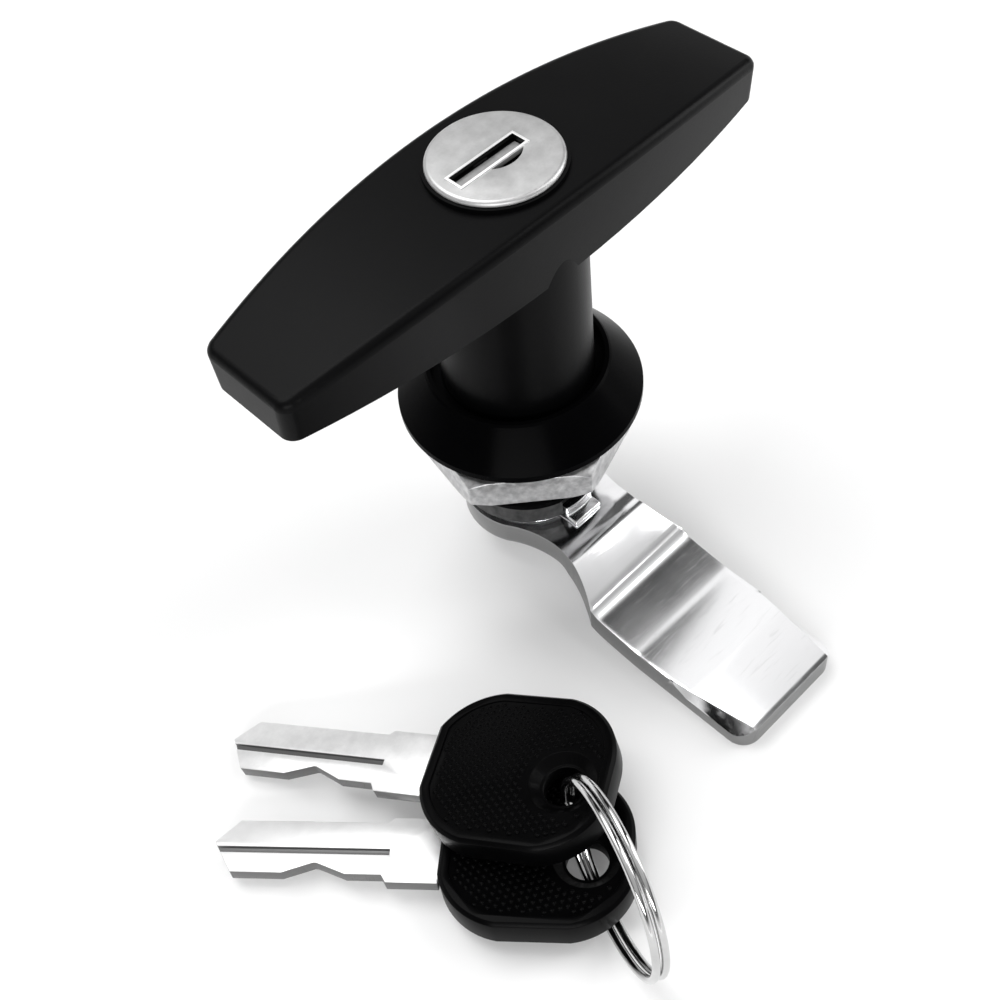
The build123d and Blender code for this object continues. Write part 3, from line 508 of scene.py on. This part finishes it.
def sweepArm(piece, sweep):
    start, run, curl, back = sweep["from"], sweep["run"], sweep["curl"], sweep["back"]
    editAll()
    at = sweep["reach"]
    while at < start + back:
        bisectAll((0, at, 0), (0, 1, 0))
        at += sweep["flatStep"] if at < start - run - sweep["flatEnd"] else sweep["step"]
    for side in sweep["sides"]:
        bisectAll((side, 0, 0), (1, 0, 0))
    editAll(False)
    for vertex in piece.data.vertices:
        y = vertex.co.y
        if start - run < y <= start:
            vertex.co.z += sweep["rise"] * ((y - start + run) / run) ** sweep["power"]
            vertex.co.z += sweep["curlRise"] * max(0, (y - start + curl) / curl) ** 2
        elif start < y < start + back:
            share = (y - start) / back
            vertex.co.z += (sweep["rise"] + sweep["curlRise"]) * (1 - share ** sweep["backPower"])


def roundEdges(nodeName, shape, cleaning):
    pick(frame["nodes"][nodeName])
    bpy.ops.object.duplicate()
    piece = bpy.context.object
    editAll()
    bpy.ops.mesh.remove_doubles(threshold=cleaning["merge"])
    bpy.ops.mesh.dissolve_limited(angle_limit=radians(cleaning["flat"]))
    editAll(False)
    if nodeName == "cam":
        sweepArm(piece, armSweep)
    applyModifier(piece, "BEVEL", width=shape["width"], segments=shape["segments"], limit_method="ANGLE",
                  angle_limit=radians(cleaning["corner"]))
    replaceNode(piece, shape["name"], nodeName)


for nodeName, shape in roundedEdges.items():
    roundEdges(nodeName, shape, meshCleaning)
print("edges rounded:", len(roundedEdges))

# Thread on the barrel, a ridge that winds up its coated length
barrelThread = {"radius": 0.0110, "ridge": 0.00042, "pitch": 0.0015, "bottom": -0.0138, "turns": 8,
                "steps": 72}


def windThread(shape):
    clearSelection()
    bpy.ops.mesh.primitive_circle_add(vertices=4, radius=shape["ridge"], fill_type="NOTHING",
                                      location=(shape["radius"], 0, shape["bottom"]), rotation=(pi / 2, 0, 0))
    piece = bpy.context.object
    bpy.ops.object.transform_apply(location=True, rotation=True, scale=True)
    applyModifier(piece, "SCREW", axis="Z", angle=2 * pi, screw_offset=shape["pitch"],
                  iterations=shape["turns"], steps=shape["steps"], render_steps=shape["steps"])
    closeEnds()
    placePiece(piece, "barrelThread", "housing", "housing_coat")


windThread(barrelThread)
print("thread wound")

# Cap of the lock: a rounded rim, a raised lip around the key slot, and a round relief on one side of it
lockCap = {
    "radius": 0.00875,
    "bottom": 0.04205,
    "top": 0.0427,
    "rimRound": 0.0006,
    "rimSegments": 5,
    "slotFrom": -0.0066,
    "slotTo": 0.0042,
    "slotHalf": 0.00115,
    "lipWide": 0.00036,
    "lipRise": 0.00012,
    "lipRound": 0.0001,
    "lipSegments": 3,
    "lipCorner": 50,
    "relief": 0.0039,
    "reliefPlace": (0.0006, 0.00115),
}


def roundRim(piece, middle, shape):
    editAll()
    bpy.ops.mesh.select_all(action="DESELECT")
    mesh = bmesh.from_edit_mesh(piece.data)
    for edge in mesh.edges:
        edge.select = all(vertex.co.z > middle for vertex in edge.verts)
    mesh.select_flush_mode()
    bmesh.update_edit_mesh(piece.data)
    bpy.ops.mesh.bevel(offset=shape["rimRound"], segments=shape["rimSegments"], affect="EDGES")
    editAll(False)


def makeCap(shape):
    height = shape["top"] - shape["bottom"]
    middle = (shape["top"] + shape["bottom"]) / 2
    slotLength = shape["slotTo"] - shape["slotFrom"]
    slotMiddle = (shape["slotTo"] + shape["slotFrom"]) / 2
    slotHalf, wide, rise = shape["slotHalf"], shape["lipWide"], shape["lipRise"]
    clearSelection()
    bpy.ops.mesh.primitive_cylinder_add(vertices=128, radius=shape["radius"], depth=height,
                                        location=(0, 0, middle))
    piece = bpy.context.object
    bpy.ops.object.transform_apply(location=True, rotation=True, scale=True)
    roundRim(piece, middle, shape)
    clearSelection()
    bpy.ops.mesh.primitive_cube_add(size=1, location=(slotMiddle, 0, shape["top"]),
                                    scale=(slotLength + 2 * wide, 2 * (slotHalf + wide), 2 * rise))
    lipBlock = bpy.context.object
    bpy.ops.mesh.primitive_cube_add(size=1, location=(slotMiddle, 0, middle),
                                    scale=(slotLength, 2 * slotHalf, 4 * height))
    slotCutter = bpy.context.object
    bpy.ops.mesh.primitive_cylinder_add(vertices=64, radius=shape["relief"], depth=3 * height,
                                        location=(*shape["reliefPlace"], middle))
    reliefCutter = bpy.context.object
    bpy.ops.object.transform_apply(location=True, rotation=True, scale=True)
    editAll()
    bisectAll((0, -slotHalf - wide, 0), (0, 1, 0), clear_outer=True, use_fill=True)
    editAll(False)
    for other, operation in ((lipBlock, "UNION"), (slotCutter, "DIFFERENCE"), (reliefCutter, "DIFFERENCE")):
        applyModifier(piece, "BOOLEAN", object=other, operation=operation, solver="EXACT")
        bpy.data.objects.remove(other)
    applyModifier(piece, "BEVEL", width=shape["lipRound"], segments=shape["lipSegments"],
                  limit_method="ANGLE", angle_limit=radians(shape["lipCorner"]))
    replaceNode(piece, "lockCap", "face_cap")


makeCap(lockCap)
print("cap made")

# Pips on the keys' heads, in slanted rows inside the rim, measured in the key's own place
pips = {"pitch": 0.00105, "rowStep": 0.866, "spread": 0.016, "radius": 0.00037, "rise": 0.00022,
        "face": 0.0021, "slant": 18.0}
keyHead = {
    "start": 0.0319,
    "end": 0.0579,
    "low": -0.0121,
    "high": 0.0112,
    "bulge": 0.0136,
    "rim": 0.0021,
    "hole": (0.0516, -0.0018),
    "dish": 0.0054,
}


def insideHead(x, y, head):
    middleX = (head["start"] + head["end"]) / 2
    middleY = (head["high"] + head["low"]) / 2
    rim = head["rim"]
    if not (head["start"] + rim < x < head["end"] - rim and head["low"] + rim < y < head["high"] - rim):
        return False
    if (x - middleX) ** 2 + (y - middleY) ** 2 > (head["bulge"] - rim) ** 2:
        return False
    return (x - head["hole"][0]) ** 2 + (y - head["hole"][1]) ** 2 > head["dish"] ** 2


def pipPlaces(shape, head):
    places = []
    count = int(shape["spread"] / shape["pitch"])
    slant = radians(shape["slant"])
    middleX = (head["start"] + head["end"]) / 2
    for row in range(-count, count + 1):
        for column in range(-count, count + 1):
            across = (column + 0.5 * (row % 2)) * shape["pitch"]
            along = row * shape["pitch"] * shape["rowStep"]
            x = middleX + across * cos(slant) - along * sin(slant)
            y = across * sin(slant) + along * cos(slant)
            if insideHead(x, y, head):
                places.append((x, y))
    return places


def makePips(name, lay, shape, head):
    clearSelection()
    bpy.ops.mesh.primitive_uv_sphere_add(segments=8, ring_count=6, radius=shape["radius"], calc_uvs=False)
    pip = bpy.context.object
    pip.scale = (1, 1, shape["rise"] / shape["radius"])
    bpy.ops.object.transform_apply(location=True, rotation=True, scale=True)
    editAll()
    bisectAll((0, 0, 0), (0, 0, 1), clear_inner=True)
    editAll(False)
    copies = []
    for x, y in pipPlaces(shape, head):
        for side, turn in ((1, 0), (-1, pi)):
            copy = bpy.data.objects.new(name, pip.data.copy())
            copy.location = (x, y, side * shape["face"])
            copy.rotation_euler = (turn, 0, 0)
            bpy.context.scene.collection.objects.link(copy)
            copies.append(copy)
    bpy.data.objects.remove(pip)
    pick(copies[0])
    for copy in copies:
        copy.select_set(True)
    bpy.ops.object.join()
    bpy.ops.object.transform_apply(location=True, rotation=True, scale=True)
    piece = bpy.context.object
    layDown(piece, lay)
    placePiece(piece, name, "keys", "key_plastic", smooth=60)


for letter, lay in keyLay.items():
    makePips("pips" + letter, lay, pips, keyHead)
print("pips set on both heads")

# Split ring: one wire wound twice, with a short crossing from one coil to the other
splitRing = {"radius": 0.0128, "wire": 0.00054, "sides": 14, "space": 0.00126, "steps": 240,
             "crossing": 0.3, "gap": 0.05}


def windRing(shape, lay):
    steps, crossing = shape["steps"], shape["crossing"]
    sweep = 4 * pi - crossing - shape["gap"]
    clearSelection()
    bpy.ops.mesh.primitive_circle_add(vertices=shape["sides"], radius=shape["wire"], fill_type="NGON",
                                      location=(0, shape["radius"], 0))
    piece = bpy.context.object
    bpy.ops.object.transform_apply(location=True, rotation=True, scale=True)
    editAll()
    bpy.ops.mesh.spin(steps=steps, angle=sweep, center=(0, 0, 0), axis=(1, 0, 0))
    editAll(False)
    for vertex in piece.data.vertices:
        angle = sweep * (vertex.index // shape["sides"]) / steps
        share = min(1, max(0, (angle - 2 * pi + crossing) / crossing))
        share = share * share * (3 - 2 * share)
        vertex.co.x += (share - 0.5) * shape["space"]
    closeEnds()
    layDown(piece, lay)
    replaceNode(piece, "splitRing", "key_ring", smooth=50)


windRing(splitRing, ringLay)
print("ring wound")

# Floor: between the two distances of "fade" it turns into the white backdrop
stage = {
    "floor": -0.0299,
    "size": 3.0,
    "white": 0.79,
    "tint": 0.01,
    "tintScale": 4,
    "roughness": 0.9,
    "lift": 0.11,
    "fade": (0.28, 0.6),
}


def makeStage(shape):
    clearSelection()
    bpy.ops.mesh.primitive_plane_add(size=shape["size"], location=(0, 0, shape["floor"]))
    floor = bpy.context.object
    floor.name = "floor"
    material = bpy.data.materials.new("paleFloor")
    material.use_nodes = True
    tree = material.node_tree
    shader = tree.nodes["Principled BSDF"]
    place = addNode(tree, "TexCoord", {})["Object"]
    tint = addNode(tree, "TexNoise", {"Vector": place, "Scale": shape["tintScale"]})["Fac"]
    tone = mixTones(tree, tint, colourOf(shape["white"]), colourOf(shape["white"] + shape["tint"]))
    ray = addNode(tree, "LightPath", {})
    shown = combine(tree, "MAXIMUM", ray["Is Camera Ray"], ray["Is Glossy Ray"], ray["Is Transmission Ray"])
    away = addNode(tree, "VectorMath", {0: place}, operation="LENGTH")["Value"]
    fade = ramp(tree, away, *shape["fade"], low=shape["lift"], soft=True)
    feed(tree, shader.inputs, {
        "Base Color": tone,
        "Roughness": shape["roughness"],
        "Specular IOR Level": 0.0,
        "Emission Color": colourOf(1.0),
        "Emission Strength": calculate(tree, "MULTIPLY", fade, shown),
    })
    # From below the floor lets the eye through
    clear = addNode(tree, "BsdfTransparent", {})["BSDF"]
    below = addNode(tree, "NewGeometry", {})["Backfacing"]
    oneSided = addNode(tree, "MixShader", {"Fac": below, 1: shader.outputs["BSDF"], 2: clear})["Shader"]
    feed(tree, tree.nodes["Material Output"].inputs, {"Surface": oneSided})
    floor.data.materials.append(material)


# Light from all round: a tent, a dark flag overhead to the right, and a white backdrop
sky = {
    "strength": 1.08,
    "rise": (0.3, 0.75),
    "horizon": 0.1,
    "away": (0.61, 0.79, 0),
    "awayRange": (-0.6, 0.2),
    "front": 0.55,
    "flag": 0.93,
    "flagEdges": (("Y", -0.15, -0.03, 0, 1), ("Y", 0.15, 0.235, 1, 0), ("X", 0.1, 0.25, 0, 1)),
    "backdrop": (0.08, 0.3),
}


def makeWorld(shape):
    world = bpy.data.worlds.new("studio")
    bpy.context.scene.world = world
    world.use_nodes = True
    tree = world.node_tree
    toSky = addNode(tree, "TexCoord", {})["Generated"]
    axes = axesOf(tree, toSky)
    # The tent is dark at the horizon, and dimmer on the side where the camera stands
    rise = ramp(tree, axes["Z"], *shape["rise"], low=shape["horizon"], soft=True)
    away = addNode(tree, "VectorMath", {0: toSky, 1: shape["away"]}, operation="DOT_PRODUCT")["Value"]
    side = ramp(tree, away, *shape["awayRange"], low=shape["front"], soft=True)
    # The cam's bend shows the flag as a grey band
    edges = [ramp(tree, axes[axis], *limits, soft=True) for axis, *limits in shape["flagEdges"]]
    flag = combine(tree, "MULTIPLY", *edges)
    through = calculate(tree, "MULTIPLY_ADD", flag, -shape["flag"], 1.0)
    tent = combine(tree, "MULTIPLY", rise, side, through, shape["strength"])
    # The backdrop is all round for the camera, and up to its top edge for reflections
    ray = addNode(tree, "LightPath", {})
    lowDown = ramp(tree, axes["Z"], *shape["backdrop"], low=1.0, high=0.0, soft=True)
    mirrored = calculate(tree, "MULTIPLY", ray["Is Glossy Ray"], lowDown)
    shown = combine(tree, "MAXIMUM", mirrored, ray["Is Camera Ray"], ray["Is Transmission Ray"])
    strength = addNode(tree, "Mix", {"Factor": shown, "A": tent, "B": 1.0})["Result"]
    feed(tree, tree.nodes["Background"].inputs, {"Color": colourOf(1.0), "Strength": strength})


lamps = (
    {"name": "overhead", "place": (-0.06, 0.25, 0.60), "size": (0.4, 0.4), "power": 2.0},
    {"name": "rightSide", "place": (0.5, -0.25, 0.25), "size": (0.3, 0.3), "power": 1.2},
    {"name": "frontStrip", "place": (-0.42, -0.40, 0.26), "size": (0.5, 0.09), "power": 1.6},
    {"name": "edgeLight", "place": (0.26, -0.23, 0.49), "size": (0.12, 0.12), "power": 0.25},
)


def addLamp(lamp):
    data = bpy.data.lights.new(lamp["name"], "AREA")
    data.shape = "RECTANGLE"
    data.size, data.size_y = lamp["size"]
    data.energy = lamp["power"]
    light = bpy.data.objects.new(lamp["name"], data)
    bpy.context.scene.collection.objects.link(light)
    light.location = lamp["place"]
    light.rotation_euler = (-Vector(lamp["place"])).to_track_quat("-Z", "Y").to_euler()


makeStage(stage)
makeWorld(sky)
for lamp in lamps:
    addLamp(lamp)
bpy.context.scene.view_settings.view_transform = "Standard"
print("stage and light set")
